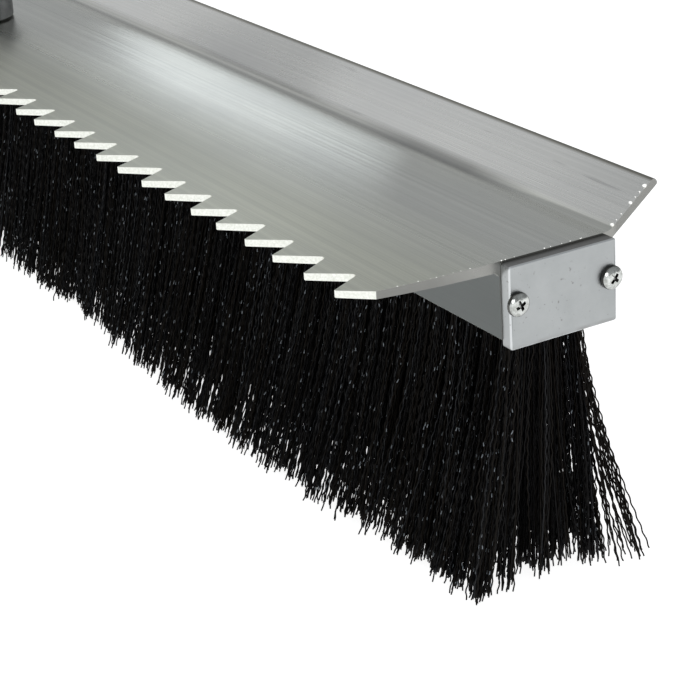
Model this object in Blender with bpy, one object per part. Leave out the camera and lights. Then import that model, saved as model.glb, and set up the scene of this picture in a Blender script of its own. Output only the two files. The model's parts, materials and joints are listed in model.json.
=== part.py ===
"""Lute and broom head: an aluminium rail with a toothed blade, a raised flange, bristles and a pole socket.

The constants are millimetres and degrees; the scene is metres. X runs along the rail, Z is up, and the
toothed blade points to -Y. The origin is under the middle of the rail, on the plane of the bristle tips.
"""
import math

import bmesh
import bpy
from mathutils import Matrix, Vector

MM = 0.001
GAP = 0.3  # clearance between two pieces that touch

# Rail, as a section across its length
RAIL_LENGTH = 762.0  # 30 inches
DECK_TOP = 108.0
DECK_THICKNESS = 3.25
CHANNEL_HALF = 19.1  # to the outer faces of the legs
LEG_THICKNESS = 2.4
LEG_BOTTOM = DECK_TOP - 23.9
LIP_REACH = 2.5
LIP_THICKNESS = 2.2
BLADE_TIP_Y = -68.4
BLADE_TIP_RISE = 1.9
BLADE_TIP_THICKNESS = 2.1
FLANGE_START_Y = 19.4
FLANGE_LENGTH = 20.7
FLANGE_ANGLE = 38.0
FLANGE_THICKNESS = 2.4

# Screw port: a round boss with a slotted bore, inside each leg
PORT_Y = 16.35
PORT_Z = DECK_TOP - 12.0
PORT_RADIUS = 3.4
PORT_BORE_RADIUS = 1.75
PORT_SLOT = 1.4

# Teeth, punched two at a time, so their spacing alternates
TOOTH_COUNT = 44
TOOTH_PITCH = 17.438
TOOTH_ALTERNATION = 0.7
FIRST_TOOTH = 6.43  # from the end of the rail to the first tip
TOOTH_DEPTH = 12.5
TOOTH_TIP_FLAT = 0.6
TOOTH_ROOT_RADIUS = 1.4

# End cap and its screws
CAP_HALF_WIDTH = 18.65
CAP_TOP = DECK_TOP - 0.65
CAP_HEIGHT = 25.4  # 1 inch
CAP_THICKNESS = 3.9
CAP_EDGE = 0.5
CAP_CORNER = 0.8
CAP_HOLE_RADIUS = 1.75
SCREW_HEAD_RADIUS = 3.65
SCREW_HEAD_SIDE = 0.7
SCREW_HEAD_HEIGHT = 2.1
SCREW_SHANK_RADIUS = 1.45
SCREW_LENGTH = 19.0

# Brush block and its rows of tufts
BLOCK_BOTTOM = CAP_TOP - CAP_HEIGHT + 0.2
BLOCK_SHOULDER_TOP = PORT_Z - PORT_RADIUS - GAP
BLOCK_CROWN_HALF = 12.5
BLOCK_CROWN_TOP = 96.5
ROW_COUNT = 5
ROOT_HALF_WIDTH = 13.4
ROOT_HALF_LENGTH = 377.0
TIP_FRONT_Y = -29.0
TIP_REAR_Y = 25.0
TIP_HALF_LENGTH = 381.0

# Handle base: a round boss with two ears, bolted up through the blade
BASE_Y = -26.0
BASE_BOTTOM = DECK_TOP + 0.75  # clears the blade's slight rise
BASE_RADIUS = 16.0
BASE_HEIGHT = 13.4
EAR_INNER = 7.0
EAR_OUTER = 11.0
EAR_RADIUS = 9.0
SLOT_FLOOR = BASE_BOTTOM + 16.4
PIVOT_Z = BASE_BOTTOM + 30.0
BOLT_X = 7.5
BOLT_RADIUS = 3.0
BOLT_HOLE_RADIUS = 3.3
BOLT_HOLE_DEPTH = 11.0
BOLT_ACROSS_FLATS = 10.0
BOLT_HEAD = 4.0
BOLT_LENGTH = 14.5
WASHER_RADIUS = 5.5
WASHER_THICKNESS = 1.2

# Pivot bolt and friction washers
PIVOT_RADIUS = 4.0
PIVOT_HOLE_RADIUS = 4.3
PIVOT_BORE_RADIUS = 4.09
PIVOT_ACROSS_FLATS = 13.0
PIVOT_HEAD = 5.3
PIVOT_NUT = 8.0
FRICTION_WASHER_RADIUS = 8.5
FRICTION_WASHER_THICKNESS = 1.0

# Pole socket: a tongue on the pivot with a tube standing on it
TUBE_RADIUS = 16.0
TUBE_BORE_RADIUS = 13.0
TUBE_BOTTOM = PIVOT_Z + 14.0
TUBE_FLOOR = PIVOT_Z + 20.0
TUBE_TOP = PIVOT_Z + 90.0
TUBE_EDGE = 0.5
POLE_SCREW_Z = PIVOT_Z + 72.0
POLE_SCREW_RADIUS = 2.4
POLE_SCREW_HEAD_RADIUS = 4.7

ROUND_STEPS = 24


# Materials

def make_material(name, colour, roughness, metallic):
    material = bpy.data.materials.new(name)
    material.use_nodes = True
    shader = material.node_tree.nodes["Principled BSDF"]
    shader.inputs["Base Color"].default_value = (*colour, 1.0)
    shader.inputs["Roughness"].default_value = roughness
    shader.inputs["Metallic"].default_value = metallic
    return material


# Outlines and solids

def arc(centre, radius, start, end, steps):
    """Points on a circle from one angle to another, in degrees."""
    angles = [math.radians(start + (end - start) * i / steps) for i in range(steps + 1)]
    return [(centre[0] + radius * math.cos(a), centre[1] + radius * math.sin(a)) for a in angles]


def rounded(corners, steps=4):
    """An outline of (a, b, radius) corners, each turned into an arc where its radius isn't 0."""
    outline = []
    for i, (a, b, radius) in enumerate(corners):
        here = Vector((a, b))
        if radius == 0:
            outline.append(here.to_tuple())
            continue
        before = (Vector(corners[i - 1][:2]) - here).normalized()
        after = (Vector(corners[(i + 1) % len(corners)][:2]) - here).normalized()
        half = before.angle(after) / 2
        centre = here + (before + after).normalized() * radius / math.sin(half)
        first = here + before * radius / math.tan(half) - centre
        last = here + after * radius / math.tan(half) - centre
        turn = math.atan2(first.cross(last), first.dot(last))
        for k in range(steps + 1):
            point = centre + Matrix.Rotation(turn * k / steps, 2) @ first
            outline.append(point.to_tuple())
    return outline


def finish(name, bm, material, smooth_angle=35.0):
    """Turns a bmesh in millimetres into a named object in metres, with its faces pointing out."""
    bmesh.ops.recalc_face_normals(bm, faces=bm.faces)
    bmesh.ops.scale(bm, vec=(MM, MM, MM), verts=bm.verts)
    mesh = bpy.data.meshes.new(name)
    bm.to_mesh(mesh)
    bm.free()
    mesh.shade_smooth()
    mesh.set_sharp_from_angle(angle=math.radians(smooth_angle))
    obj = bpy.data.objects.new(name, mesh)
    bpy.context.collection.objects.link(obj)
    if material:
        mesh.materials.append(material)
    return obj


def add_loft(bm, loops):
    """Adds a closed solid through loops of points that all have the same count."""
    rings = [[bm.verts.new(point) for point in loop] for loop in loops]
    for low, high in zip(rings, rings[1:]):
        for i in range(len(low)):
            bm.faces.new((low[i - 1], low[i], high[i], high[i - 1]))
    bm.faces.new(rings[0])
    bm.faces.new(rings[-1])
    return [v for ring in rings for v in ring]


def add_prism(bm, outline, low, high, axis):
    """Adds a prism of an outline that runs along an axis. The outline's coordinates follow X, Y, Z order."""
    place = {
        "X": lambda a, b, h: (h, a, b),
        "Y": lambda a, b, h: (a, h, b),
        "Z": lambda a, b, h: (a, b, h),
    }[axis]
    return add_loft(bm, [[place(a, b, h) for a, b in outline] for h in (low, high)])


def add_lathe(bm, profile, steps=ROUND_STEPS):
    """Adds a solid turned about Z from a profile of (radius, height) points, bottom to top."""
    rings = []
    for radius, height in profile:
        if radius == 0:
            rings.append([bm.verts.new((0, 0, height))])
            continue
        turns = [2 * math.pi * k / steps for k in range(steps)]
        rings.append([bm.verts.new((radius * math.cos(t), radius * math.sin(t), height)) for t in turns])
    for low, high in zip(rings, rings[1:]):
        for k in range(steps):
            n = (k + 1) % steps
            corners = [low[k % len(low)], low[n % len(low)], high[n % len(high)], high[k % len(high)]]
            bm.faces.new(list(dict.fromkeys(corners)))
    for end in (rings[0], rings[-1]):
        if len(end) > 1:
            bm.faces.new(end)
    return [v for ring in rings for v in ring]


def add_ring(bm, inner, outer, low, high, steps=ROUND_STEPS):
    """Adds a washer-shaped ring about Z."""
    section = [(inner, low), (outer, low), (outer, high), (inner, high)]
    turns = [2 * math.pi * k / steps for k in range(steps)]
    rings = [[bm.verts.new((r * math.cos(t), r * math.sin(t), z)) for t in turns] for r, z in section]
    for i, ring in enumerate(rings):
        after = rings[(i + 1) % len(rings)]
        for k in range(steps):
            n = (k + 1) % steps
            bm.faces.new((ring[k], ring[n], after[n], after[k]))


def hexagon(across_flats):
    """A hexagon with flats on its left and right."""
    radius = across_flats / math.sqrt(3)
    return [(radius * math.sin(math.radians(60 * k)), radius * math.cos(math.radians(60 * k))) for k in range(6)]


def cut(obj, cutter, operation="DIFFERENCE"):
    """Cuts obj with another object, which is a guide and not a piece."""
    cutter.hide_render = True
    cutter.display_type = "WIRE"
    modifier = obj.modifiers.new(cutter.name, "BOOLEAN")
    modifier.object = cutter
    modifier.operation = operation
    modifier.solver = "EXACT"


def place(obj, x=0.0, y=0.0, z=0.0, turn=None):
    """Moves obj to a point in millimetres, after an optional rotation."""
    obj.matrix_world = Matrix.Translation((x * MM, y * MM, z * MM)) @ (turn or Matrix())
    return obj


def along_x(side):
    """The rotation that takes +Z to +X or -X."""
    return Matrix.Rotation(math.radians(90 * side), 4, "Y")


# Rail

def blade_curve(steps=8):
    """The blade's top and underside between its tip and the front leg, each as (y, z) points."""
    run = -CHANNEL_HALF - BLADE_TIP_Y
    top, under = [], []
    for i in range(steps + 1):
        share = 1 - i / steps
        y = BLADE_TIP_Y + run * (1 - share)
        z = DECK_TOP + BLADE_TIP_RISE * share**2
        thickness = DECK_THICKNESS + (BLADE_TIP_THICKNESS - DECK_THICKNESS) * share
        top.append((y, z))
        under.append((y, z - thickness))
    return top, under


def port_outline(side):
    """The inner face of a leg past its screw port, from bottom to top, for the front leg (side -1) or rear."""
    edge = math.degrees(math.acos((CHANNEL_HALF - LEG_THICKNESS - PORT_Y) / PORT_RADIUS))
    outer_slot = math.degrees(math.asin(PORT_SLOT / 2 / PORT_RADIUS))
    bore_slot = math.degrees(math.asin(PORT_SLOT / 2 / PORT_BORE_RADIUS))
    centre = (-PORT_Y, PORT_Z)
    points = arc(centre, PORT_RADIUS, edge - 180, -outer_slot, 5)
    points += arc(centre, PORT_BORE_RADIUS, -bore_slot, bore_slot - 360, 12)
    points += arc(centre, PORT_RADIUS, outer_slot, 180 - edge, 5)
    return [(-side * a, b) for a, b in points]


def rail_outline():
    """The rail's section, as one loop that starts at the blade's tip and runs along the top first."""
    inner = CHANNEL_HALF - LEG_THICKNESS
    lip_inner = inner - LIP_REACH
    lip_top = LEG_BOTTOM + LIP_THICKNESS
    deck_bottom = DECK_TOP - DECK_THICKNESS
    angle = math.radians(FLANGE_ANGLE)
    tip = (FLANGE_START_Y + FLANGE_LENGTH * math.cos(angle), DECK_TOP + FLANGE_LENGTH * math.sin(angle))
    under = (tip[0] + FLANGE_THICKNESS * math.sin(angle), tip[1] - FLANGE_THICKNESS * math.cos(angle))
    root_z = under[1] - (under[0] - CHANNEL_HALF) * math.tan(angle)
    top, blade_under = blade_curve()
    corners = [(y, z, 0) for y, z in top]
    corners += [
        (FLANGE_START_Y, DECK_TOP, 5.0),
        (*tip, 0.9),
        (*under, 0.9),
        (CHANNEL_HALF, root_z, 1.5),
        (CHANNEL_HALF, LEG_BOTTOM, 0.5),
        (lip_inner, LEG_BOTTOM, 0.4),
        (lip_inner, lip_top, 0.4),
        (inner, lip_top, 0),
    ]
    corners += [(a, b, 0) for a, b in port_outline(1)]
    corners += [(inner, deck_bottom, 1.0), (-inner, deck_bottom, 1.0)]
    corners += [(a, b, 0) for a, b in reversed(port_outline(-1))]
    corners += [
        (-inner, lip_top, 0),
        (-lip_inner, lip_top, 0.4),
        (-lip_inner, LEG_BOTTOM, 0.4),
        (-CHANNEL_HALF, LEG_BOTTOM, 0.5),
        (*blade_under[-1], 1.8),
    ]
    corners += [(y, z, 0) for y, z in reversed(blade_under[:-1])]
    return rounded(corners)


def tooth_tips():
    """The X places of the tooth tips, from +X to -X."""
    start = RAIL_LENGTH / 2 - FIRST_TOOTH
    return [start - i * TOOTH_PITCH + (TOOTH_ALTERNATION if i % 2 else 0) for i in range(TOOTH_COUNT)]


def comb_outline():
    """The waste in front of the teeth, seen from above: a comb of V shapes with rounded points."""
    tips = tooth_tips()
    tips = [tips[0] + TOOTH_PITCH, *tips, tips[-1] - TOOTH_PITCH]
    corners = []
    for i, tip in enumerate(tips):
        corners.append((tip + TOOTH_TIP_FLAT / 2, BLADE_TIP_Y, 0))
        corners.append((tip - TOOTH_TIP_FLAT / 2, BLADE_TIP_Y, 0))
        if i + 1 < len(tips):
            corners.append(((tip + tips[i + 1]) / 2, BLADE_TIP_Y + TOOTH_DEPTH, TOOTH_ROOT_RADIUS))
    front = BLADE_TIP_Y - 5
    corners += [(tips[-1] - 1, front, 0), (tips[0] + 1, front, 0)]
    return rounded(corners, 3)


def make_rail(material):
    bm = bmesh.new()
    add_prism(bm, rail_outline(), -RAIL_LENGTH / 2, RAIL_LENGTH / 2, "X")
    rail = finish("head_rail", bm, material, 28.0)
    bm = bmesh.new()
    add_prism(bm, comb_outline(), DECK_TOP - 5, DECK_TOP + 5, "Z")
    cut(rail, finish("guide_comb", bm, None))
    cut(rail, bolt_holes("guide_deck_holes", DECK_TOP - 6, DECK_TOP + 2))


# End caps and screws

def cap_outline(inset):
    """The cap's rounded rectangle, moved in by inset on every side."""
    y, low, high = CAP_HALF_WIDTH - inset, CAP_TOP - CAP_HEIGHT + inset, CAP_TOP - inset
    radius = CAP_CORNER - inset
    return rounded([(-y, low, radius), (y, low, radius), (y, high, radius), (-y, high, radius)], 3)


def make_caps(material):
    inner = RAIL_LENGTH / 2 + GAP
    sections = [(0, 0)]
    for k in range(4):
        turn = math.radians(30 * k)
        sections.append((CAP_EDGE * (1 - math.cos(turn)), CAP_THICKNESS - CAP_EDGE * (1 - math.sin(turn))))
    for name, side in (("end_cap_right", 1), ("end_cap_left", -1)):
        bm = bmesh.new()
        add_loft(bm, [[((inner + height) * side, y, z) for y, z in cap_outline(inset)]
                      for inset, height in sections])
        cap = finish(name, bm, material)
        bm = bmesh.new()
        for y in (-PORT_Y, PORT_Y):
            hole = arc((y, PORT_Z), CAP_HOLE_RADIUS, 0, 345, 23)
            add_prism(bm, hole, (inner - 1) * side, (inner + CAP_THICKNESS + 1) * side, "X")
        cut(cap, finish(f"guide_{name}_holes", bm, None))


def pan_screw_profile(head_radius, side, height, shank_radius, length):
    """A pan-head screw that points to -Z, with the head's underside at 0."""
    dome = [(head_radius * math.cos(a), side + (height - side) * math.sin(a))
            for a in (math.radians(18 * k) for k in range(5))]
    return [(0, -length), (shank_radius * 0.6, -length), (shank_radius, -length + 1.2), (shank_radius, 0),
            (head_radius - 0.2, 0), (head_radius, 0.2), *dome, (0, height)]


def cross_recess(name, span, width, depth, top):
    """The guide for a cross recess: two crossed slots that narrow as they go down."""
    arm, half = span / 2, width / 2
    plus = [(half, half), (half, arm), (-half, arm), (-half, half), (-arm, half), (-arm, -half),
            (-half, -half), (-half, -arm), (half, -arm), (half, -half), (arm, -half), (arm, half)]
    bm = bmesh.new()
    verts = add_prism(bm, plus, top - depth, top + 1, "Z")
    for vert in verts:
        if vert.co.z < top:
            vert.co.x *= 0.6
            vert.co.y *= 0.6
    return finish(name, bm, None)


def make_pan_screw(name, material, spot, turn, sizes, recess):
    """A pan-head screw with its recess, at a point and turned to its direction."""
    bm = bmesh.new()
    add_lathe(bm, pan_screw_profile(*sizes))
    screw = finish(name, bm, material)
    cutter = cross_recess(f"guide_{name}", *recess)
    cut(screw, cutter)
    place(screw, *spot, turn)
    place(cutter, *spot, turn)


def make_cap_screws(material):
    seat = RAIL_LENGTH / 2 + GAP + CAP_THICKNESS + GAP
    sizes = (SCREW_HEAD_RADIUS, SCREW_HEAD_SIDE, SCREW_HEAD_HEIGHT, SCREW_SHANK_RADIUS, SCREW_LENGTH)
    recess = (4.2, 1.2, 1.3, SCREW_HEAD_HEIGHT)
    for end, side in (("right", 1), ("left", -1)):
        for row, y in (("front", -PORT_Y), ("rear", PORT_Y)):
            twist = Matrix.Rotation(math.radians(25 if row == "front" else 50), 4, "Z")
            turn = along_x(side) @ twist
            make_pan_screw(f"cap_screw_{end}_{row}", material, (seat * side, y, PORT_Z), turn, sizes, recess)


# Brush

def make_block(material):
    lip_inner = CHANNEL_HALF - LEG_THICKNESS - LIP_REACH - GAP
    shoulder = CHANNEL_HALF - LEG_THICKNESS - GAP
    groove_top = LEG_BOTTOM + LIP_THICKNESS + GAP
    right = [(lip_inner, BLOCK_BOTTOM), (lip_inner, groove_top), (shoulder, groove_top),
             (shoulder, BLOCK_SHOULDER_TOP), (BLOCK_CROWN_HALF, BLOCK_SHOULDER_TOP),
             (BLOCK_CROWN_HALF, BLOCK_CROWN_TOP)]
    outline = right + [(-y, z) for y, z in reversed(right)]
    half = RAIL_LENGTH / 2
    bm = bmesh.new()
    add_prism(bm, outline, -half, half, "X")
    finish("brush_block", bm, material)


def make_rows(material):
    """Rows of tufts, each a flared solid from the block down to the plane of the tips."""
    root_step = 2 * ROOT_HALF_WIDTH / ROW_COUNT
    tip_step = (TIP_REAR_Y - TIP_FRONT_Y) / ROW_COUNT
    root_z = BLOCK_BOTTOM - GAP
    for i in range(ROW_COUNT):
        root = [-ROOT_HALF_WIDTH + root_step * (i + k) + GAP * (0.5 - k) for k in (0, 1)]
        tip = [TIP_FRONT_Y + tip_step * (i + k) + GAP * (0.5 - k) for k in (0, 1)]
        bm = bmesh.new()
        verts = add_prism(bm, [(tip[0], 0), (tip[1], 0), (root[1], root_z), (root[0], root_z)], -1, 1, "X")
        for vert in verts:
            vert.co.x *= TIP_HALF_LENGTH if vert.co.z < 1 else ROOT_HALF_LENGTH
        finish(f"bristle_row_{i + 1}", bm, material)


# Handle base and its fasteners

def ear_outline(bottom):
    """An ear seen along X: straight sides and a round top about the pivot."""
    top = arc((BASE_Y, PIVOT_Z), EAR_RADIUS, 0, 180, 14)
    return [(BASE_Y - EAR_RADIUS, bottom), (BASE_Y + EAR_RADIUS, bottom), *top]


def bolt_holes(name, low, high):
    """The guide for the two bolt holes."""
    bm = bmesh.new()
    for x in (-BOLT_X, BOLT_X):
        verts = add_lathe(bm, [(BOLT_HOLE_RADIUS, low), (BOLT_HOLE_RADIUS, high)])
        bmesh.ops.translate(bm, vec=(x, BASE_Y, 0), verts=verts)
    return finish(name, bm, None)


def make_base(material):
    top = BASE_BOTTOM + BASE_HEIGHT
    bm = bmesh.new()
    profile = [(BASE_RADIUS, BASE_BOTTOM), (BASE_RADIUS, top - 1.5), (BASE_RADIUS - 0.5, top - 0.5),
               (BASE_RADIUS - 1.5, top)]
    verts = add_lathe(bm, profile, 36)
    bmesh.ops.translate(bm, vec=(0, BASE_Y, 0), verts=verts)
    base = finish("handle_base", bm, material)
    bm = bmesh.new()
    add_prism(bm, ear_outline(top - 2), -EAR_OUTER, EAR_OUTER, "X")
    cut(base, finish("guide_ears", bm, None), "UNION")
    bm = bmesh.new()
    far = EAR_RADIUS + 5
    slot = [(BASE_Y - far, SLOT_FLOOR), (BASE_Y + far, SLOT_FLOOR), (BASE_Y + far, PIVOT_Z + far),
            (BASE_Y - far, PIVOT_Z + far)]
    add_prism(bm, slot, -EAR_INNER, EAR_INNER, "X")
    cut(base, finish("guide_slot", bm, None))
    bm = bmesh.new()
    hole = arc((BASE_Y, PIVOT_Z), PIVOT_HOLE_RADIUS, 0, 345, 23)
    add_prism(bm, hole, -EAR_OUTER - 1, EAR_OUTER + 1, "X")
    cut(base, finish("guide_pivot_holes", bm, None))
    cut(base, bolt_holes("guide_base_holes", BASE_BOTTOM - 1, BASE_BOTTOM + BOLT_HOLE_DEPTH))


def hex_bolt(name, material, across_flats, head, radius, length, spot, turn=None):
    """A hexagon bolt that points to -Z, with the head's underside at 0."""
    bm = bmesh.new()
    add_prism(bm, hexagon(across_flats), 0, head, "Z")
    bolt = finish(name, bm, material)
    bm = bmesh.new()
    add_lathe(bm, [(radius * 0.8, -length), (radius, -length + 0.8), (radius, head / 2)], 20)
    shank = finish(f"guide_{name}", bm, None)
    cut(bolt, shank, "UNION")
    place(bolt, *spot, turn)
    place(shank, *spot, turn)


def hex_nut(name, material, across_flats, height, bore, spot, turn=None):
    """A hexagon nut with its low face at 0."""
    bm = bmesh.new()
    add_prism(bm, hexagon(across_flats), 0, height, "Z")
    nut = finish(name, bm, material)
    bm = bmesh.new()
    add_lathe(bm, [(bore, -1), (bore, height + 1)], 20)
    hole = finish(f"guide_{name}", bm, None)
    cut(nut, hole)
    place(nut, *spot, turn)
    place(hole, *spot, turn)


def washer(name, material, inner, outer, thickness, spot, turn=None):
    bm = bmesh.new()
    add_ring(bm, inner, outer, 0, thickness)
    place(finish(name, bm, material), *spot, turn)


def make_base_bolts(material):
    """Two bolts up through the blade into the base, head down."""
    under = DECK_TOP - DECK_THICKNESS - GAP
    head_z = under - WASHER_THICKNESS - GAP
    flip = Matrix.Rotation(math.pi, 4, "X")
    for name, x in (("left", -BOLT_X), ("right", BOLT_X)):
        washer(f"base_washer_{name}", material, BOLT_RADIUS + GAP, WASHER_RADIUS, WASHER_THICKNESS,
               (x, BASE_Y, under - WASHER_THICKNESS))
        hex_bolt(f"base_bolt_{name}", material, BOLT_ACROSS_FLATS, BOLT_HEAD, BOLT_RADIUS, BOLT_LENGTH,
                 (x, BASE_Y, head_z), flip)


def make_pivot(steel, nylon):
    outer = EAR_OUTER + GAP
    inner = EAR_INNER - GAP
    hex_bolt("pivot_bolt", steel, PIVOT_ACROSS_FLATS, PIVOT_HEAD, PIVOT_RADIUS,
             2 * outer + PIVOT_NUT + 1.5, (outer, BASE_Y, PIVOT_Z), along_x(1))
    hex_nut("pivot_nut", steel, PIVOT_ACROSS_FLATS, PIVOT_NUT, PIVOT_HOLE_RADIUS,
            (-outer, BASE_Y, PIVOT_Z), along_x(-1))
    for name, side in (("right", 1), ("left", -1)):
        washer(f"friction_washer_{name}", nylon, PIVOT_HOLE_RADIUS, FRICTION_WASHER_RADIUS,
               FRICTION_WASHER_THICKNESS, ((inner - FRICTION_WASHER_THICKNESS) * side, BASE_Y, PIVOT_Z),
               along_x(side))


# Pole socket, which tilts about the pivot; its objects hang from an empty on that axis

def make_socket(material, steel):
    pivot = bpy.data.objects.new("pole_tilt_axis", None)
    pivot.location = (0, BASE_Y * MM, PIVOT_Z * MM)
    bpy.context.collection.objects.link(pivot)
    half = EAR_INNER - 2 * GAP - FRICTION_WASHER_THICKNESS
    round_end = arc((BASE_Y, PIVOT_Z), EAR_RADIUS, 180, 360, 14)
    tongue = [*round_end, (BASE_Y + EAR_RADIUS, TUBE_BOTTOM + 2), (BASE_Y - EAR_RADIUS, TUBE_BOTTOM + 2)]
    bm = bmesh.new()
    add_prism(bm, tongue, -half, half, "X")
    socket = finish("pole_socket", bm, material)
    edge, outer, bore = TUBE_EDGE, TUBE_RADIUS, TUBE_BORE_RADIUS
    bm = bmesh.new()
    verts = add_lathe(bm, [(outer - 2, TUBE_BOTTOM), (outer, TUBE_BOTTOM + 2), (outer, TUBE_TOP - edge),
                           (outer - edge, TUBE_TOP)], 40)
    bmesh.ops.translate(bm, vec=(0, BASE_Y, 0), verts=verts)
    cut(socket, finish("guide_tube", bm, None), "UNION")
    bm = bmesh.new()
    verts = add_lathe(bm, [(bore, TUBE_FLOOR), (bore, TUBE_TOP - edge), (bore + edge, TUBE_TOP),
                           (bore + edge, TUBE_TOP + 1)], 40)
    bmesh.ops.translate(bm, vec=(0, BASE_Y, 0), verts=verts)
    cut(socket, finish("guide_tube_bore", bm, None))
    bm = bmesh.new()
    add_prism(bm, arc((BASE_Y, PIVOT_Z), PIVOT_BORE_RADIUS, 0, 348, 29), -half - 1, half + 1, "X")
    cut(socket, finish("guide_pivot_bore", bm, None))
    bm = bmesh.new()
    screw_hole = arc((BASE_Y, POLE_SCREW_Z), POLE_SCREW_RADIUS + GAP, 0, 345, 23)
    add_prism(bm, screw_hole, bore - 2, outer + 2, "X")
    cut(socket, finish("guide_screw_hole", bm, None))
    sizes = (POLE_SCREW_HEAD_RADIUS, 1.2, 3.2, POLE_SCREW_RADIUS, outer - bore)
    make_pan_screw("pole_screw", steel, (outer + GAP, BASE_Y, POLE_SCREW_Z), along_x(1), sizes,
                   (5.2, 1.4, 1.9, 3.2))
    for name in ("pole_socket", "pole_screw"):
        child = bpy.data.objects[name]
        world = child.matrix_world.copy()
        child.parent = pivot
        child.matrix_parent_inverse = Matrix.Translation(pivot.location).inverted()
        child.matrix_basis = world


def build():
    for obj in list(bpy.data.objects):
        bpy.data.objects.remove(obj, do_unlink=True)
    rail_metal = make_material("rail_aluminium", (0.62, 0.62, 0.60), 0.34, 1.0)
    cap_metal = make_material("cap_aluminium", (0.66, 0.69, 0.72), 0.40, 1.0)
    steel = make_material("zinc_steel", (0.70, 0.70, 0.70), 0.22, 1.0)
    bristle = make_material("bristle_black", (0.012, 0.011, 0.012), 0.38, 0.0)
    wood = make_material("block_wood", (0.50, 0.36, 0.20), 0.60, 0.0)
    cast = make_material("cast_aluminium", (0.42, 0.42, 0.41), 0.48, 1.0)
    nylon = make_material("washer_nylon", (0.75, 0.74, 0.68), 0.50, 0.0)
    make_rail(rail_metal)
    make_caps(cap_metal)
    make_cap_screws(steel)
    make_block(wood)
    make_rows(bristle)
    make_base(cast)
    make_base_bolts(steel)
    make_pivot(steel, nylon)
    make_socket(cast, steel)


build()
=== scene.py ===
"""Looks for the lute and broom head: brushed aluminium, steel fasteners and crimped black filaments."""

import json
import math

import bmesh
import bpy
import numpy as np
from mathutils import Matrix, Vector

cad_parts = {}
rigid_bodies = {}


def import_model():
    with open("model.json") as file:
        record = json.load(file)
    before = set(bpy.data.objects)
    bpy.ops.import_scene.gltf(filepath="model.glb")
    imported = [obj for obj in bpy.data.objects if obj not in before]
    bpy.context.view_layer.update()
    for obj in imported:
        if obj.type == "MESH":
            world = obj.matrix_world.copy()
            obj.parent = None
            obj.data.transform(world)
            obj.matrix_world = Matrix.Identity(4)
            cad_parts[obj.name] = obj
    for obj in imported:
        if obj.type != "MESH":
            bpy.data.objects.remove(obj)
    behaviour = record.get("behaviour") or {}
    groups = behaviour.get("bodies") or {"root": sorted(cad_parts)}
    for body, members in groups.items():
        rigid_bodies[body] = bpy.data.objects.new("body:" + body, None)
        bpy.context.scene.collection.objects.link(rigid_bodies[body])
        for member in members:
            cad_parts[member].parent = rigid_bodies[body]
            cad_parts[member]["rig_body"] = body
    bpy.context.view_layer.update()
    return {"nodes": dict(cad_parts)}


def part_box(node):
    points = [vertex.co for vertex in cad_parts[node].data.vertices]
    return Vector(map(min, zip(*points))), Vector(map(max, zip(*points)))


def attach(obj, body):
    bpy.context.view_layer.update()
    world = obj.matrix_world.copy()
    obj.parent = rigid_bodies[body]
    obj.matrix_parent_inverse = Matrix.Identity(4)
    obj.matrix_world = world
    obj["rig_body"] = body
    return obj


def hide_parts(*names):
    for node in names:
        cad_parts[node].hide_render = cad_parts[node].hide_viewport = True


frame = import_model()
MM = 0.001
rng = np.random.default_rng(20)

rail_low, rail_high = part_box("head_rail")
block_low, block_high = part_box("brush_block")
cap_low, cap_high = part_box("end_cap_right")
RAIL_END = rail_high.x
DECK_TOP = cap_high.z + 0.65 * MM
BLOCK_UNDERSIDE = block_low.z
CHANNEL_EDGE = 19.1 * MM  # from the middle to the channel's outer faces
BLADE_REACH = 49.3 * MM  # from there to the blade's tip
BLADE_TIP_RISE = 1.9 * MM
FLANGE_FOOT = 19.4 * MM
FLANGE_ANGLE = math.radians(38.0)
BEND = FLANGE_FOOT + 1.1 * MM  # where the bend turns into the flange's flat face
FLANGE_RIM = DECK_TOP + 12.2 * MM
NOTCH_ROOTS = -55.5 * MM
BEND_SHADE_DARKENS = (240 * MM, 275 * MM)  # along the rail, for the painted shade band in the bend
BEND_SHADE_FADES = (308 * MM, 345 * MM)
CAP_SEAT = 0.26 * MM


# Materials

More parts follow.
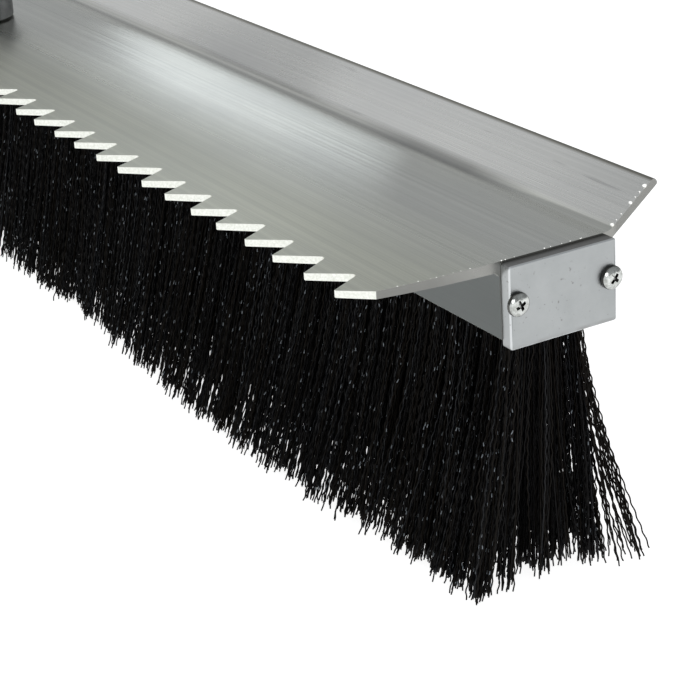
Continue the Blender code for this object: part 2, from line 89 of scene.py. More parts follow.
class Nodes:
    """A short way to add and link shader nodes."""

    def __init__(self, name):
        self.material = bpy.data.materials.new(name)
        self.material.use_nodes = True
        self.tree = self.material.node_tree
        self.shader = self.tree.nodes["Principled BSDF"]

    def add(self, kind, inputs=None, **settings):
        node = self.tree.nodes.new(kind)
        for key, value in settings.items():
            setattr(node, key, value)
        for key, value in (inputs or {}).items():
            self.set(node.inputs[key], value)
        return node

    def set(self, socket, value):
        if isinstance(value, bpy.types.NodeSocket):
            self.tree.links.new(value, socket)
        elif isinstance(value, tuple) and len(value) == 3 and socket.type == "RGBA":
            socket.default_value = (*value, 1.0)
        else:
            socket.default_value = value

    def principled(self, **values):
        for key, value in values.items():
            self.set(self.shader.inputs[key.replace("_", " ")], value)
        return self.material

    def position(self):
        return self.add("ShaderNodeTexCoord").outputs["Object"]

    def scaled(self, vector, scale):
        """The vector with each component times its own scale."""
        node = self.add("ShaderNodeMapping", {"Vector": vector})
        node.inputs["Scale"].default_value = scale
        return node.outputs["Vector"]

    def noise(self, vector, scale, detail=3.0, rough=0.55):
        node = self.add("ShaderNodeTexNoise", {"Vector": vector, "Scale": scale, "Detail": detail})
        node.inputs["Roughness"].default_value = rough
        return node.outputs["Fac"]

    def math(self, operation, a, b=0.0):
        node = self.add("ShaderNodeMath", operation=operation)
        self.set(node.inputs[0], a)
        self.set(node.inputs[1], b)
        return node.outputs[0]

    def remap(self, value, low, high, out_low=0.0, out_high=1.0):
        node = self.add("ShaderNodeMapRange", {"Value": value, "From Min": low, "From Max": high,
                                              "To Min": out_low, "To Max": out_high}, clamp=True)
        return node.outputs["Result"]

    def blend(self, factor, a, b, mode="MIX"):
        node = self.add("ShaderNodeMix", data_type="RGBA", blend_type=mode)
        self.set(node.inputs[0], factor)
        self.set(node.inputs[6], a)
        self.set(node.inputs[7], b)
        return node.outputs[2]

    def bump(self, height, strength, distance=0.4 * MM):
        node = self.add("ShaderNodeBump", {"Height": height, "Strength": strength, "Distance": distance})
        return node.outputs["Normal"]


def rail_material():
    """Mill-finish aluminium: lines along X, a dull bend and a dark channel both with painted shade, sawn ends
    painted darker, a flange painted paler, and bright cuts in the notches.
    """
    n = Nodes("rail_metal")
    place = n.position()
    x, y, z = n.add("ShaderNodeSeparateXYZ", {"Vector": place}).outputs
    facing = n.add("ShaderNodeSeparateXYZ", {"Vector": n.add("ShaderNodeNewGeometry").outputs["True Normal"]})
    up = n.math("ABSOLUTE", facing.outputs["Z"])
    fine = n.noise(n.scaled(place, (0.8, 2100.0, 2100.0)), 1.0, 2.0)
    coarse = n.noise(n.scaled(place, (0.5, 420.0, 420.0)), 1.0, 3.0)
    cloudy = n.noise(n.scaled(place, (14.0, 34.0, 34.0)), 1.0, 4.0, 0.6)
    grain = n.noise(place, 1500.0, 2.0, 0.7)
    lines = n.math("ADD", n.math("MULTIPLY", fine, 0.5), n.math("MULTIPLY", coarse, 0.5))
    metal = n.blend(n.remap(lines, 0.3, 0.7), (0.61, 0.61, 0.585), (0.87, 0.865, 0.835))
    metal = n.blend(n.remap(cloudy, 0.35, 0.7, 0.0, 0.45), metal, (0.62, 0.625, 0.635))
    metal = n.blend(n.remap(grain, 0.3, 0.7, 0.0, 0.10), metal, (0.50, 0.50, 0.49))
    # A few short dark scuffs on the flange
    scuff = n.noise(n.scaled(place, (26.0, 380.0, 380.0)), 1.0, 2.0)
    on_flange = n.remap(y, BEND, BEND + 1.5 * MM)
    scuff = n.math("MULTIPLY", n.remap(scuff, 0.68, 0.76, 0.0, 0.4), on_flange)
    metal = n.blend(scuff, metal, (0.16, 0.16, 0.16))
    # The deck has a faint straw tint, stronger towards the blade
    tint = n.math("SUBTRACT", 1.0, on_flange)
    tint = n.math("MULTIPLY", tint, n.remap(y, -45 * MM, -10 * MM, 1.0, 0.35))
    metal = n.blend(tint, metal, (0.985, 1.0, 0.905), mode="MULTIPLY")
    # The flange is painted a little paler than the deck as painted light, and its rim is stained
    metal = n.blend(n.math("MULTIPLY", on_flange, 0.35), metal, (0.80, 0.80, 0.79))
    rim = n.remap(z, FLANGE_RIM - 0.6 * MM, FLANGE_RIM, 0.0, 0.75)
    metal = n.blend(rim, metal, (0.10, 0.09, 0.055))
    # Painted shade: a dark, dull band in the bend, which fades near the end
    painted_bend_shade = n.math("MULTIPLY", n.remap(y, BEND - 4.5 * MM, BEND - 2.5 * MM),
                  n.remap(y, BEND, BEND + 2.0 * MM, 1.0, 0.0))
    painted_bend_shade = n.math("MULTIPLY", painted_bend_shade, n.remap(x, *BEND_SHADE_DARKENS, 0.36, 0.68))
    painted_bend_shade = n.math("MULTIPLY", painted_bend_shade, n.remap(x, *BEND_SHADE_FADES, 1.0, 0.08))
    painted_bend_shade = n.math("MULTIPLY", painted_bend_shade, n.remap(z, DECK_TOP - 1.2 * MM, DECK_TOP - 0.4 * MM))
    metal = n.blend(painted_bend_shade, metal, (0.20, 0.20, 0.20))
    # Painted shade: the channel's outer faces are painted dark, and made dull
    low = n.remap(z, DECK_TOP - 4.5 * MM, DECK_TOP - 3.0 * MM, 1.0, 0.0)
    side = n.math("MULTIPLY", low, n.remap(up, 0.3, 0.5, 1.0, 0.0))
    side = n.math("MULTIPLY", side, n.remap(n.math("ABSOLUTE", facing.outputs["X"]), 0.4, 0.6, 1.0, 0.0))
    metal = n.blend(n.math("MULTIPLY", side, 0.92), metal, (0.137, 0.151, 0.155))
    # Painted shade: the sawn ends are painted darker, and the notches are cut bright
    end_on = n.remap(n.math("ABSOLUTE", facing.outputs["X"]), 0.85, 0.95)
    at_end = n.remap(n.math("ABSOLUTE", x), RAIL_END - 1.5 * MM, RAIL_END - 1.0 * MM)
    painted_end_shade = n.math("MULTIPLY", end_on, at_end)
    metal = n.blend(painted_end_shade, metal, (0.30, 0.30, 0.285))
    in_blade = n.remap(y, NOTCH_ROOTS - 0.5 * MM, NOTCH_ROOTS, 1.0, 0.0)
    cut_face = n.math("MULTIPLY", in_blade, n.remap(up, 0.3, 0.5, 1.0, 0.0))
    cut_face = n.math("MULTIPLY", cut_face, n.math("SUBTRACT", 1.0, painted_end_shade))
    fresh = n.blend(n.remap(grain, 0.35, 0.65), (0.72, 0.74, 0.67), (0.88, 0.89, 0.84))
    metal = n.blend(cut_face, metal, fresh)
    rough = n.remap(n.math("ADD", n.math("MULTIPLY", cloudy, 0.5), n.math("MULTIPLY", coarse, 0.5)),
                    0.3, 0.7, 0.09, 0.14)
    # The blade is scuffed duller than the deck beside the bend
    rough = n.math("ADD", rough, n.remap(y, -40 * MM, -6 * MM, 0.26, 0.0))
    rough = n.math("ADD", rough, n.math("MULTIPLY", on_flange, 0.16))
    rough = n.math("ADD", rough, n.math("MULTIPLY", side, 0.2))
    grooved = n.math("SUBTRACT", 1.0, cut_face)
    rough = n.math("ADD", n.math("MULTIPLY", rough, grooved), n.math("MULTIPLY", cut_face, 0.3))
    rough = n.math("ADD", rough, n.math("MULTIPLY", painted_bend_shade, 0.2))
    normal = n.bump(coarse, 0.13)
    tangent = n.add("ShaderNodeTangent", direction_type="RADIAL", axis="X").outputs["Tangent"]
    return n.principled(Base_Color=metal, Metallic=1.0, Roughness=rough, Normal=normal, Anisotropic=grooved,
                        Tangent=tangent)


def cap_material():
    """Satin aluminium plate with faint random scratches."""
    n = Nodes("cap_metal")
    place = n.position()
    scratch = n.noise(n.scaled(place, (300.0, 90.0, 2600.0)), 1.0, 2.0)
    cross = n.noise(n.scaled(place, (300.0, 2400.0, 120.0)), 1.0, 2.0)
    cloudy = n.noise(place, 90.0, 4.0, 0.6)
    metal = n.blend(n.remap(cloudy, 0.3, 0.7), (0.355, 0.370, 0.373), (0.430, 0.445, 0.448))
    lines = n.math("ADD", n.math("MULTIPLY", scratch, 0.5), n.math("MULTIPLY", cross, 0.5))
    up = n.add("ShaderNodeSeparateXYZ", {"Vector": n.add("ShaderNodeNewGeometry").outputs["True Normal"]})
    # Painted shade: the cap's upward faces are painted darker
    metal = n.blend(n.remap(up.outputs["Z"], 0.5, 0.9), metal, (0.25, 0.245, 0.24))
    # Painted highlight: the rounded edges of the face are painted bright
    x, y, z = n.add("ShaderNodeSeparateXYZ", {"Vector": place}).outputs
    half_width, top, bottom = cap_high.y, cap_high.z, cap_low.z
    painted_edge_highlight = n.remap(n.math("ABSOLUTE", y), half_width - 0.55 * MM, half_width - 0.30 * MM)
    painted_edge_highlight = n.math("MAXIMUM", painted_edge_highlight, n.remap(z, top - 0.55 * MM, top - 0.30 * MM))
    painted_edge_highlight = n.math("MAXIMUM", painted_edge_highlight, n.remap(z, bottom + 0.25 * MM, bottom + 0.45 * MM, 1.0, 0.0))
    outer = n.remap(n.math("ABSOLUTE", x), cap_high.x - 0.6 * MM, cap_high.x - 0.45 * MM)
    painted_edge_highlight = n.math("MULTIPLY", painted_edge_highlight, outer)
    metal = n.blend(n.math("MULTIPLY", painted_edge_highlight, 0.8), metal, (0.70, 0.72, 0.73))
    # Thin grime along the foot of the face, and a few specks
    specks = n.remap(n.noise(place, 620.0, 2.0), 0.66, 0.74, 0.0, 0.45)
    foot = n.math("MULTIPLY", n.remap(z, bottom + 0.6 * MM, bottom + 1.6 * MM, 0.35, 0.0),
                  n.remap(cloudy, 0.4, 0.6))
    metal = n.blend(n.math("MAXIMUM", specks, foot), metal, (0.10, 0.085, 0.075))
    normal = n.bump(lines, 0.12)
    return n.principled(Base_Color=metal, Metallic=1.0, Roughness=n.remap(cloudy, 0.3, 0.7, 0.33, 0.43),
                        Normal=normal)


def steel_material():
    n = Nodes("bright_steel")
    place = n.position()
    cloudy = n.noise(place, 400.0, 3.0)
    metal = n.blend(n.remap(cloudy, 0.3, 0.7), (0.36, 0.37, 0.36), (0.52, 0.53, 0.53))
    return n.principled(Base_Color=metal, Metallic=1.0, Roughness=n.remap(cloudy, 0.3, 0.7, 0.12, 0.22))


def screw_material():
    """Plated steel, painted bright on the crown of the head and dark round its rim, as painted highlight and
    shade.
    """
    n = Nodes("plated_screw")
    place = n.position()
    cloudy = n.noise(place, 900.0, 3.0)
    facing = n.add("ShaderNodeSeparateXYZ", {"Vector": n.add("ShaderNodeNewGeometry").outputs["Normal"]})
    # Painted highlight on the crown and painted shade round the rim, from the way the surface faces
    painted_crown_light = n.remap(n.math("ABSOLUTE", facing.outputs["X"]), 0.55, 0.97)
    metal = n.blend(painted_crown_light, (0.10, 0.10, 0.095), n.blend(n.remap(cloudy, 0.35, 0.65), (0.42, 0.43, 0.41),
                                                        (0.70, 0.72, 0.70)))
    return n.principled(Base_Color=metal, Metallic=1.0, Roughness=n.remap(cloudy, 0.3, 0.7, 0.10, 0.20))


def casting_material():
    """Grey cast aluminium with a sandy skin and darker stains."""
    n = Nodes("cast_metal")
    place = n.position()
    sand = n.noise(place, 1100.0, 3.0, 0.7)
    stain = n.noise(place, 85.0, 4.0, 0.65)
    colour = n.blend(n.remap(stain, 0.4, 0.65), (0.15, 0.155, 0.16), (0.34, 0.345, 0.35))
    colour = n.blend(n.remap(sand, 0.35, 0.7, 0.0, 0.35), colour, (0.44, 0.44, 0.44))
    return n.principled(Base_Color=colour, Metallic=1.0, Roughness=n.remap(stain, 0.3, 0.7, 0.36, 0.52),
                        Normal=n.bump(sand, 0.30))


def burr_material():
    """Bright torn edges of metal at a saw cut, which glow faintly as painted glints."""
    n = Nodes("glowing_burr_metal")
    bright = n.blend(n.noise(n.position(), 900.0), (0.86, 0.86, 0.84), (1.0, 1.0, 0.98))
    # The emission is a painted glint: the burrs glow though they are no lamp
    return n.principled(Base_Color=bright, Metallic=1.0, Roughness=0.42, Emission_Color=(1.0, 1.0, 0.97),
                        Emission_Strength=0.6)


def wood_material():
    n = Nodes("block_wood")
    place = n.position()
    grain = n.noise(n.scaled(place, (6.0, 260.0, 260.0)), 1.0, 4.0, 0.6)
    colour = n.blend(n.remap(grain, 0.3, 0.7), (0.33, 0.20, 0.095), (0.56, 0.39, 0.21))
    return n.principled(Base_Color=colour, Roughness=n.remap(grain, 0.3, 0.7, 0.5, 0.7),
                        Normal=n.bump(grain, 0.2))


def nylon_material():
    n = Nodes("washer_nylon")
    cloudy = n.noise(n.position(), 300.0, 3.0)
    colour = n.blend(cloudy, (0.68, 0.66, 0.58), (0.78, 0.77, 0.71))
    return n.principled(Base_Color=colour, Roughness=0.45, Subsurface_Weight=0.1)


def bristle_material(name, colour, roughness, sheen=0.09):
    n = Nodes(name)
    return n.principled(Base_Color=colour, Roughness=roughness, Specular_IOR_Level=sheen)


# Pieces made from the CAD nodes, with rounded edges

def seat_cap(mesh):
    """Brings a cap's inner face up to the rail's end, which it is screwed against."""
    inner = min(abs(v.co.x) for v in mesh.vertices)
    for v in mesh.vertices:
        if abs(v.co.x) < inner + 0.05 * MM:
            v.co.x -= math.copysign(CAP_SEAT, v.co.x)


def round_edges(node, width, material, segments=2):
    """A copy of a CAD node with its sharp edges rounded, which stands for that node."""
    source = frame["nodes"][node]
    bm = bmesh.new()
    bm.from_mesh(source.data)
    bmesh.ops.remove_doubles(bm, verts=bm.verts, dist=0.002 * MM)
    bmesh.ops.dissolve_limit(bm, angle_limit=math.radians(0.6), verts=bm.verts, edges=bm.edges)
    mesh = bpy.data.meshes.new(node + "_visual")
    bm.to_mesh(mesh)
    bm.free()
    if node.startswith("end_cap"):
        seat_cap(mesh)
    piece = bpy.data.objects.new(node + "_visual", mesh)
    bpy.context.scene.collection.objects.link(piece)
    bevel = piece.modifiers.new("edges", "BEVEL")
    bevel.width = width
    bevel.segments = segments
    bevel.limit_method = "ANGLE"
    bevel.angle_limit = math.radians(30)
    apply_modifiers(piece)
    piece.data.shade_smooth()
    piece.data.set_sharp_from_angle(angle=math.radians(50))
    weights = piece.modifiers.new("flat faces stay flat", "WEIGHTED_NORMAL")
    weights.keep_sharp = True
    weights.weight = 100
    apply_modifiers(piece)
    piece.data.materials.clear()
    piece.data.materials.append(material)
    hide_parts(node)
    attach(piece, source["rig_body"])
    return piece


def apply_modifiers(piece):
    """Turns the piece's modifiers into its mesh."""
    shown = piece.evaluated_get(bpy.context.evaluated_depsgraph_get())
    mesh = bpy.data.meshes.new_from_object(shown)
    piece.modifiers.clear()
    piece.data = mesh


def make_hardware():
    rail, cap, steel, casting = rail_material(), cap_material(), steel_material(), casting_material()
    screw, wood, nylon = screw_material(), wood_material(), nylon_material()
    round_edges("head_rail", 0.16 * MM, rail)
    for node in frame["nodes"]:
        if node.startswith("end_cap"):
            round_edges(node, 0.12 * MM, cap)
        elif node.startswith("cap_screw"):
            round_edges(node, 0.40 * MM, screw, segments=4)
        elif node == "pole_screw":
            round_edges(node, 0.08 * MM, steel)
        elif node.startswith(("base_bolt", "base_washer", "pivot_")):
            round_edges(node, 0.25 * MM, steel)
        elif node in ("handle_base", "pole_socket"):
            round_edges(node, 0.45 * MM, casting)
        elif node.startswith("friction_washer"):
            round_edges(node, 0.20 * MM, nylon)
    round_edges("brush_block", 0.8 * MM, wood)


# Burrs left by the saw along the rail's ends

def add_burr(bm, place, size):
    """A small flattened lump of metal."""
    verts = bmesh.ops.create_icosphere(bm, subdivisions=2, radius=1.0)["verts"]
    shape = Matrix.Diagonal((size, size * rng.uniform(0.9, 1.5), size * 0.75, 1.0))
    bmesh.ops.transform(bm, matrix=Matrix.Translation(place) @ shape, verts=verts)


def make_burrs():
    """Rows of small burrs where the saw left the deck, and three larger ones on the flange."""
    inset, lift = 0.75 * MM, 0.1 * MM
    bm = bmesh.new()
    for side in (-1, 1):
        for y in rng.uniform(-54 * MM, 15 * MM, 19):
            size = rng.uniform(0.09, 0.20) * MM
            x = side * (RAIL_END - rng.uniform(0.25, 0.6) * MM)
            add_burr(bm, (x, y, DECK_TOP + deck_rise(y) + 0.2 * size), size)
        along = [(s, 0.55) for s in (2.2, 10.6, 17.2)]
        along += [(s, rng.uniform(0.10, 0.20)) for s in rng.uniform(3, 16, 5)]
        for reach, size in along:
            reach *= MM
            place = (side * (RAIL_END - inset), FLANGE_FOOT + reach * math.cos(FLANGE_ANGLE) - lift,
                     DECK_TOP + reach * math.sin(FLANGE_ANGLE) + lift)
            add_burr(bm, place, size * MM)
    mesh = bpy.data.meshes.new("saw_burrs")
    bm.to_mesh(mesh)
    bm.free()
    mesh.shade_smooth()
    mesh.materials.append(burr_material())
    burrs = bpy.data.objects.new("saw_burrs", mesh)
    bpy.context.scene.collection.objects.link(burrs)
    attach(burrs, "head")


def deck_rise(y):
    """How far the blade's top stands above the deck, which grows towards its tip."""
    return BLADE_TIP_RISE * min(1.0, max(0.0, (-y - CHANNEL_EDGE) / BLADE_REACH)) ** 2


# Bristles

FILAMENT_RADIUS = 0.27 * MM
CRIMP_LENGTH = 4.6 * MM
CRIMP_HEIGHT = 0.25 * MM
TUFT_STEP = 8.6 * MM
TUFT_RADIUS = 2.6 * MM
DROOP = 1.25  # how a filament's lean grows on its way down
CLUMPS = 5  # groups of filaments in each tuft whose tips stay together
ROW_ROOTS = np.linspace(-10.8, 10.8, 5) * MM
ROW_TIPS = np.array([-26.0, -15.5, -5.0, 5.0, 14.0]) * MM
ROW_FILAMENTS = (30, 20, 18, 18, 26)
ROOT_HALF_LENGTH = 376.0 * MM
ROOT_LEVEL = BLOCK_UNDERSIDE + 1.0 * MM
TIP_LEVEL = 4.4 * MM
LOWEST_TIP = 0.4 * MM
PAINTED_GLINT_RADIUS = 0.17 * MM
PAINTED_GLINT_RISE = 0.20 * MM  # from the filament's middle line to a painted glint's
PAINTED_GLINTS_PER_FILAMENT = 3.2
PIECE_FACES = 190000  # the most triangles in one piece
INNER_ROWS = (1, 2, 3)
CORE_SHARE = 0.78  # how far down its tuft each packed core reaches
CORE_END_GAP = 2  # tufts at each end without a core
END_TUFTS = 5  # tufts at each end that are packed more tightly


def forward_lean(x):
    """How far the front tips lean further out, at two places where use has pushed them over."""
    near_end = 8.5 * MM * np.exp(-(((x - 0.235) / 0.115) ** 2))
    far_side = 3.0 * MM * np.exp(-(((x + 0.15) / 0.09) ** 2))
    return -near_end - far_side


def lean_share(row):
    """The part of that lean which a row takes: all of it at the front, and none at the rear."""
    return ((len(ROW_ROOTS) - 1 - row) / (len(ROW_ROOTS) - 1)) ** 1.5


def tuft_filaments(row, per_tuft):
    """Roots and tips for the filaments of one row, as two arrays of points."""
    places = tuft_places(row)
    counts = np.full(len(places), per_tuft)
    counts[:END_TUFTS] = counts[-END_TUFTS:] = per_tuft * 2
    x_tuft = np.repeat(places, counts)
    total = len(x_tuft)
    turn = rng.uniform(0, 2 * np.pi, total)
    reach = TUFT_RADIUS * np.sqrt(rng.uniform(0, 1, total))
    around = np.stack([reach * np.cos(turn), reach * np.sin(turn)], 1)
    root = np.stack([x_tuft + around[:, 0], ROW_ROOTS[row] + around[:, 1],
                     np.full(total, ROOT_LEVEL)], 1)
    # Tips gather into clumps, and each clump has its own place and length
    clump = np.repeat(np.arange(len(places)) * CLUMPS, counts) + (turn / (2 * np.pi) * CLUMPS).astype(int)
    clump_total = len(places) * CLUMPS
    clump_place = rng.normal(0, 1.6 * MM, (clump_total, 2))
    clump_level = rng.normal(0, 0.9 * MM, clump_total) - rng.exponential(0.7 * MM, clump_total)
    end_flare = 4.5 * MM * (np.abs(x_tuft) / ROOT_HALF_LENGTH) ** 24 * np.sign(x_tuft)
    own = rng.normal(0, 1.0, (total, 2)) * np.where(rng.uniform(0, 1, (total, 1)) < 0.2, 2.6, 1.0) * MM
    offset = 0.75 * around + clump_place[clump] + own
    level = TIP_LEVEL + clump_level[clump] - rng.exponential(0.9 * MM, total) + rng.normal(0, 0.5 * MM, total)
    tip = np.stack([x_tuft + offset[:, 0] + end_flare,
                    ROW_TIPS[row] + offset[:, 1] + forward_lean(x_tuft) * lean_share(row),
                    np.maximum(LOWEST_TIP, level)], 1)
    return root, tip


def stray_filaments():
    """Single filaments that stand off the rear near corner and, more rarely, off the front."""
    rear, front = 26, 46
    x = np.concatenate([rng.uniform(0.366, 0.377, rear), rng.uniform(-0.37, 0.37, front)])
    total = rear + front
    is_rear = np.arange(total) < rear
    root = np.stack([x, np.where(is_rear, ROW_ROOTS[-1], ROW_ROOTS[0]) + rng.normal(0, 0.8 * MM, total),
                     np.full(total, ROOT_LEVEL)], 1)
    rear_tip = np.stack([x + rng.uniform(7, 14, total) * MM, rng.uniform(15, 29, total) * MM,
                         rng.uniform(0.4, 4.5, total) * MM], 1)
    front_tip = np.stack([x + rng.normal(0, 5 * MM, total),
                          ROW_TIPS[0] + forward_lean(x) - rng.uniform(1, 6, total) * MM,
                          rng.uniform(0.5, 6, total) * MM], 1)
    return root, np.where(is_rear[:, None], rear_tip, front_tip)


def filament_paths(root, tip, per_wave):
    """Points along crimped lines that run from each root to its tip."""
    total = len(root)
    length = np.linalg.norm(tip - root, axis=1)
    waves = float(np.mean(length)) / CRIMP_LENGTH
    t = np.linspace(0, 1, int(round(waves * per_wave)) + 1)[None, :, None]
    drop = (tip - root)[:, None, :]
    path = root[:, None, :] + np.concatenate([drop[..., :2] * t**DROOP, drop[..., 2:] * t], 2)
    side_way = rng.uniform(0, 2 * np.pi, total)
    across = np.stack([np.cos(side_way), np.sin(side_way), np.zeros(total)], 1)[:, None, :]
    other = np.stack([-np.sin(side_way), np.cos(side_way), np.zeros(total)], 1)[:, None, :]
    phase = rng.uniform(0, 2 * np.pi, (total, 1, 1))
    rate = rng.normal(1.0, 0.05, (total, 1, 1))
    height = CRIMP_HEIGHT * rng.uniform(0.7, 1.25, (total, 1, 1)) * np.minimum(1.0, t * 8)
    turn = 2 * np.pi * waves * rate * t + phase
    path = path + across * height * np.sin(turn) + other * 0.35 * height * np.cos(turn)
    bow_way = rng.uniform(0, 2 * np.pi, total)
    bow = np.stack([np.cos(bow_way), np.sin(bow_way), np.zeros(total)], 1)[:, None, :]
    path = path + bow * rng.normal(0, 1.1 * MM, (total, 1, 1)) * np.sin(np.pi * t)
    path[..., 2] = np.maximum(path[..., 2], LOWEST_TIP)
    return path


def tubes(path, radius, sides=3):
    """Points, side faces and end faces of a tube round each line of points."""
    total, stations = path.shape[:2]
    along = np.gradient(path, axis=1)
    along /= np.linalg.norm(along, axis=2, keepdims=True)
    first = np.cross(along, np.array([1.0, 0.0, 0.0]))
    first /= np.linalg.norm(first, axis=2, keepdims=True)
    second = np.cross(along, first)
    turns = 2 * np.pi * np.arange(sides) / sides
    ring = (first[:, :, None, :] * np.cos(turns)[None, None, :, None]
            + second[:, :, None, :] * np.sin(turns)[None, None, :, None])
    points = (path[:, :, None, :] + radius * ring).reshape(-1, 3)
    index = np.arange(total * stations * sides).reshape(total, stations, sides)
    a, b = index[:, :-1, :], index[:, 1:, :]
    after = np.roll(np.arange(sides), -1)
    quads = np.stack([a, a[:, :, after], b[:, :, after], b], 3).reshape(-1, 4)
    caps = np.concatenate([index[:, 0, ::-1], index[:, -1, :]])
    return points, quads, caps


def painted_glints(path):
    """Short stretches of the lines, laid pale on the crimps as painted glints."""
    total, stations = path.shape[:2]
    count = int(total * PAINTED_GLINTS_PER_FILAMENT)
    which = rng.integers(0, total, count)
    where = rng.integers(2, stations - 2, count)
    way = rng.uniform(0, 2 * np.pi, count)
    aside = PAINTED_GLINT_RISE * np.stack([np.cos(way), np.sin(way), np.zeros(count)], 1)
    return np.stack([path[which, where] + aside, path[which, where + 1] + aside], 1)


def make_mesh(name, points, quads, caps):
    """A mesh from arrays of points, four-sided faces and end faces."""
    mesh = bpy.data.meshes.new(name)
    sides = caps.shape[1]
    loops = np.concatenate([quads.reshape(-1), caps.reshape(-1)]).astype(np.int32)
    starts = np.concatenate([np.arange(len(quads)) * 4, len(quads) * 4 + np.arange(len(caps)) * sides])
    mesh.vertices.add(len(points))
    mesh.vertices.foreach_set("co", points.astype(np.float32).reshape(-1))
    mesh.loops.add(len(loops))
    mesh.loops.foreach_set("vertex_index", loops)
    mesh.polygons.add(len(starts))
    mesh.polygons.foreach_set("loop_start", starts.astype(np.int32))
    mesh.update(calc_edges=True)
    mesh.validate()
    mesh.shade_smooth()
    return mesh


def tuft_places(row):
    """The X places of a row's tufts; every other row is staggered."""
    stagger = TUFT_STEP / 2 if row % 2 else 0.0
    end = ROOT_HALF_LENGTH - stagger / 2 - 2.5 * MM
    return np.linspace(-end, end, int(2 * ROOT_HALF_LENGTH / TUFT_STEP))


def make_cores():
    """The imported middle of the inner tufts, which no light passes, as plugs behind the loose filaments."""
    bm = bmesh.new()
    for row in INNER_ROWS:
        for x in tuft_places(row)[CORE_END_GAP:-CORE_END_GAP]:
            top = Vector((x, ROW_ROOTS[row], ROOT_LEVEL))
            full = Vector((x, ROW_TIPS[row] + forward_lean(x) * lean_share(row), TIP_LEVEL)) - top
            bottom = top + Vector((0, full.y * CORE_SHARE**DROOP, full.z * CORE_SHARE))
            cone = bmesh.ops.create_cone(bm, cap_ends=True, segments=7, radius1=2.3 * MM, radius2=1.9 * MM,
                                         depth=(top - bottom).length)["verts"]
            turn = (top - bottom).to_track_quat("Z", "Y").to_matrix().to_4x4()
            bmesh.ops.transform(bm, matrix=Matrix.Translation((top + bottom) / 2) @ turn, verts=cone)
    mesh = bpy.data.meshes.new("tuft_cores")
    bm.to_mesh(mesh)
    bm.free()
    mesh.materials.append(bristle_material("bristle_core", (0.0015, 0.0015, 0.0015), 0.6))
    cores = bpy.data.objects.new("tuft_cores", mesh)
    bpy.context.scene.collection.objects.link(cores)
    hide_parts(*[f"bristle_row_{row + 1}" for row in INNER_ROWS])
    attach(cores, "head")


def add_filaments(name, node, path, black, radius=FILAMENT_RADIUS):
    """Pieces of filament in one colour, cut into parts that stay under the face limit."""
    points, quads, caps = tubes(path, radius)
    parts = math.ceil((2 * len(quads) + len(caps)) / PIECE_FACES)
    per_point, per_quad = len(points) // len(path), len(quads) // len(path)
    for k, group in enumerate(np.array_split(np.arange(len(path)), parts)):
        first, last = group[0], group[-1] + 1
        ends = caps.reshape(2, len(path), 3)[:, first:last].reshape(-1, 3)
        shift = first * per_point
        mesh = make_mesh(f"{name}_{k + 1}", points[shift:last * per_point],
                         quads[first * per_quad:last * per_quad] - shift, ends - shift)
        piece = bpy.data.objects.new(mesh.name, mesh)
        bpy.context.scene.collection.objects.link(piece)
        mesh.materials.append(black)
        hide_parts(node)
        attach(piece, "head")


def make_bristles():
    """Every row's filaments in three blacks, pale painted glints on the outer rows, and the strays."""
    blacks = [bristle_material("bristle_black", (0.0030, 0.0028, 0.0030), 0.26),
              bristle_material("bristle_brown", (0.0055, 0.0042, 0.0030), 0.32),
              bristle_material("bristle_blue", (0.0030, 0.0036, 0.0050), 0.20, 0.2)]
    # Pale pieces on the crimps, as painted glints
    glint_paint = bristle_material("bristle_painted_glint", (0.20, 0.225, 0.25), 0.25, 0.6)
    shares = (0.60, 0.26, 0.14)
    for row, per_tuft in enumerate(ROW_FILAMENTS):
        outer = row in (0, len(ROW_ROOTS) - 1)
        node = f"bristle_row_{row + 1}"
        root, tip = tuft_filaments(row, per_tuft)
        path = filament_paths(root, tip, 4 if outer else 2)
        kind = rng.choice(len(blacks), len(root), p=shares)
        for k, black in enumerate(blacks):
            add_filaments(f"filaments_{row + 1}_{k + 1}", node, path[kind == k], black)
        if outer:
            add_filaments(f"crests_{row + 1}", node, painted_glints(path), glint_paint, PAINTED_GLINT_RADIUS)
    path = filament_paths(*stray_filaments(), 5)
    add_filaments("stray_filaments", f"bristle_row_{len(ROW_ROOTS)}", path, blacks[1])


# Stage, camera and lights

CAMERA_AZIMUTH = 60.64
CAMERA_ELEVATION = 23.16
CAMERA_ROLL = -3.665
CAMERA_PLACE = Vector((0.8288, -0.3204, 0.3143))
LENS = 106.05


def camera_axes():
    """The camera's right, up and back directions."""
    azimuth, elevation, roll = (math.radians(a) for a in (CAMERA_AZIMUTH, CAMERA_ELEVATION, CAMERA_ROLL))
    back = Vector((math.sin(azimuth) * math.cos(elevation), -math.cos(azimuth) * math.cos(elevation),
                   math.sin(elevation)))
    level = Vector((math.cos(azimuth), math.sin(azimuth), 0))
    upright = back.cross(level)
    right = level * math.cos(roll) + upright * math.sin(roll)
    return right, back.cross(right), back


def make_camera():
    data = bpy.data.cameras.new("camera")
    data.lens = LENS
    data.sensor_width = 36
    data.clip_start = 0.01
    camera = bpy.data.objects.new("camera", data)
    bpy.context.scene.collection.objects.link(camera)
    rotation = Matrix(camera_axes()).transposed().to_4x4()
    camera.matrix_world = Matrix.Translation(CAMERA_PLACE) @ rotation
    bpy.context.scene.camera = camera


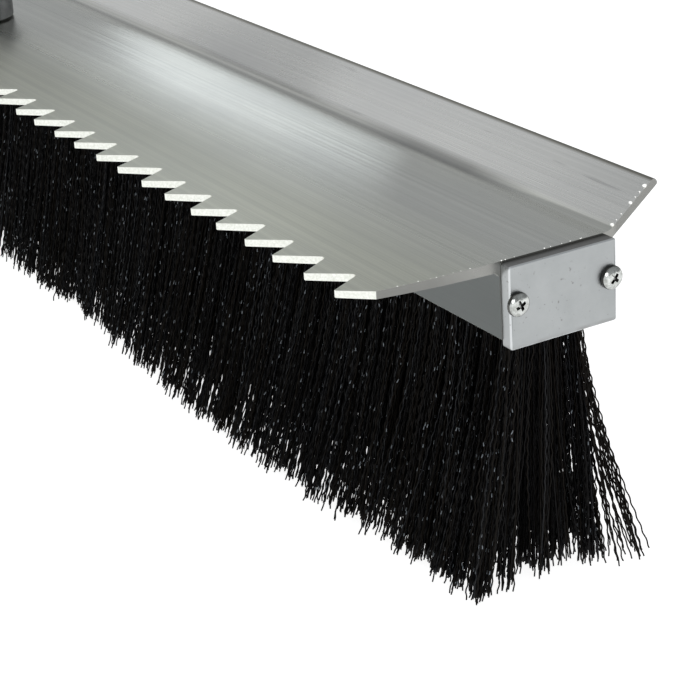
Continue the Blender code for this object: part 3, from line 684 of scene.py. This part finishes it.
def area_light(name, place, target, size, power, colour=(1, 1, 1)):
    data = bpy.data.lights.new(name, "AREA")
    data.shape = "RECTANGLE"
    data.size, data.size_y = size
    data.energy = power
    data.color = colour
    lamp = bpy.data.objects.new(name, data)
    bpy.context.scene.collection.objects.link(lamp)
    direction = Vector(target) - Vector(place)
    lamp.matrix_world = Matrix.Translation(place) @ direction.to_track_quat("-Z", "Y").to_matrix().to_4x4()


def make_stage():
    bm = bmesh.new()
    bmesh.ops.create_grid(bm, x_segments=1, y_segments=1, size=6.0)
    mesh = bpy.data.meshes.new("floor")
    bm.to_mesh(mesh)
    bm.free()
    floor = bpy.data.objects.new("floor", mesh)
    bpy.context.scene.collection.objects.link(floor)
    n = Nodes("pale_floor")
    mesh.materials.append(n.principled(Base_Color=(0.55, 0.55, 0.55), Roughness=0.9,
                                       Emission_Color=(1.0, 1.0, 1.0), Emission_Strength=0.90))
    world = bpy.data.worlds.new("studio")
    world.use_nodes = True
    world.node_tree.nodes["Background"].inputs["Color"].default_value = (0.95, 0.98, 1.0, 1.0)
    world.node_tree.nodes["Background"].inputs["Strength"].default_value = 0.40
    bpy.context.scene.world = world
    bpy.context.scene.view_settings.view_transform = "Standard"
    area_light("overhead", (0.3, -0.2, 2.2), (0.2, 0, 0), (1.6, 1.6), 5)
    # A lamp far off the rail's far end, whose reflection the lines in the metal draw out across the deck
    from_axis, round_axis = math.radians(30.4), math.radians(27)
    away = Vector((-math.cos(from_axis), math.sin(from_axis) * math.cos(round_axis),
                   math.sin(from_axis) * math.sin(round_axis)))
    middle = Vector((0.2, 0, DECK_TOP))
    area_light("deck_lamp", middle + 4.0 * away, middle, (0.64, 0.66), 0.84, (0.93, 1.0, 1.04))
    # A broad lamp that the flange reflects
    flange_way = Vector((-0.87, -0.195, 0.45))
    area_light("flange_lamp", middle + 3.0 * flange_way, middle, (2.2, 1.6), 3.4)
    area_light("end_fill", (3.2, -0.75, 0.75), (0.2, 0, 0.05), (0.8, 0.8), 16)


make_camera()
make_stage()
make_hardware()
make_burrs()
make_cores()
make_bristles()
